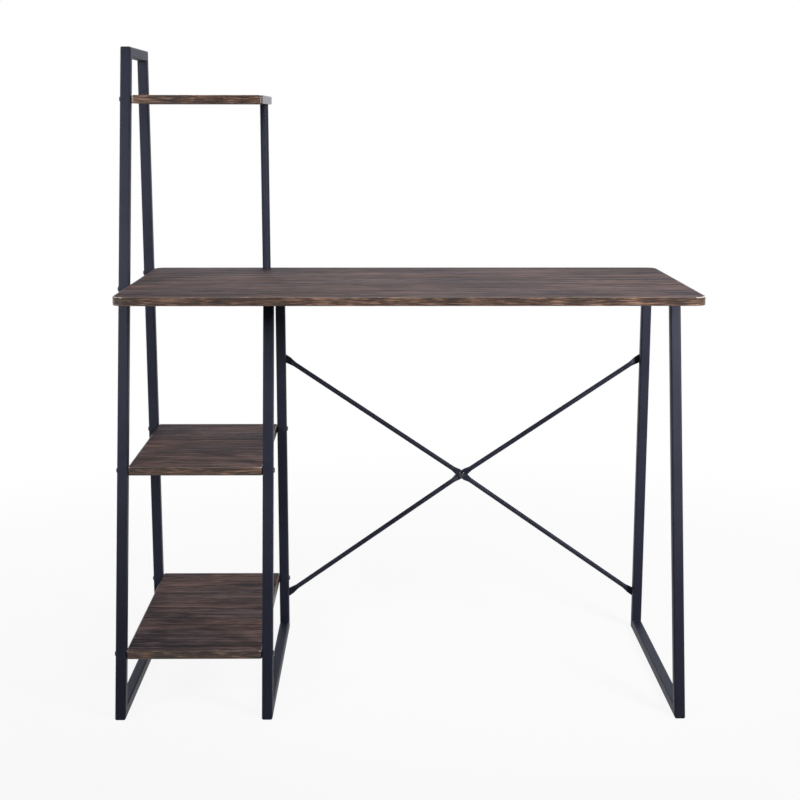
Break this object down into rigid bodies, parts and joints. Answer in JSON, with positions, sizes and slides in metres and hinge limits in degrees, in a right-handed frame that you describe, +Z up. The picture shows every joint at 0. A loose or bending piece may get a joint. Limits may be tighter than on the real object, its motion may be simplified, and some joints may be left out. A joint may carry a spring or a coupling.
{
  "type": "computer desk",
  "caption": "Computer desk with open shelf tower on one side, slanted square-tube end frames and a crossed rear brace.",
  "frame": {"origin": "floor level, under the centre of the outline seen from above", "axes": "+X to the right along the desk as seen by someone sitting at it (the shelf tower is at -X), +Y from the front edge to the back, +Z up"},
  "size_m": [1.0214, 0.5, 1.171],
  "materials": {
    "black_steel": "satin powder coat",
    "wood_laminate": "grey-brown wood-grain laminate, satin",
    "edge_band": "warm brown wood-grain edge band, satin",
    "zinc_steel": "zinc plated"
  },
  "bodies": {
    "root": {"bottom_shelf_board": "wood_laminate", "bottom_shelf_bolts_left": "zinc_steel", "bottom_shelf_bolts_right": "zinc_steel", "bottom_shelf_edge_band": "edge_band", "bottom_shelf_edge_inserts": "zinc_steel", "brace_centre_bolt": "zinc_steel", "brace_centre_nut": "zinc_steel", "brace_end_bolts": "zinc_steel", "brace_rivet_nuts": "zinc_steel", "brace_rod_front": "black_steel", "brace_rod_rear": "black_steel", "desktop_board": "wood_laminate", "desktop_edge_band": "edge_band", "desktop_edge_bolts": "zinc_steel", "desktop_edge_inserts": "zinc_steel", "desktop_screws_middle": "zinc_steel", "desktop_screws_right": "zinc_steel", "desktop_underside_inserts": "zinc_steel", "left_frame_foot_rail": "black_steel", "left_frame_front_post": "black_steel", "left_frame_rear_post": "black_steel", "left_frame_top_bar": "black_steel", "middle_frame_foot_rail": "black_steel", "middle_frame_front_leg": "black_steel", "middle_frame_rear_leg": "black_steel", "middle_frame_top_rail": "black_steel", "middle_shelf_board": "wood_laminate", "middle_shelf_bolts_left": "zinc_steel", "middle_shelf_bolts_right": "zinc_steel", "middle_shelf_edge_band": "edge_band", "middle_shelf_edge_inserts": "zinc_steel", "right_frame_foot_rail": "black_steel", "right_frame_front_leg": "black_steel", "right_frame_rear_leg": "black_steel", "right_frame_top_rail": "black_steel", "support_rod": "black_steel", "support_rod_plugs": "zinc_steel", "support_rod_screws": "zinc_steel", "top_shelf_board": "wood_laminate", "top_shelf_bolts": "zinc_steel", "top_shelf_edge_band": "edge_band", "top_shelf_edge_inserts": "zinc_steel"}
  },
  "joints": []
}
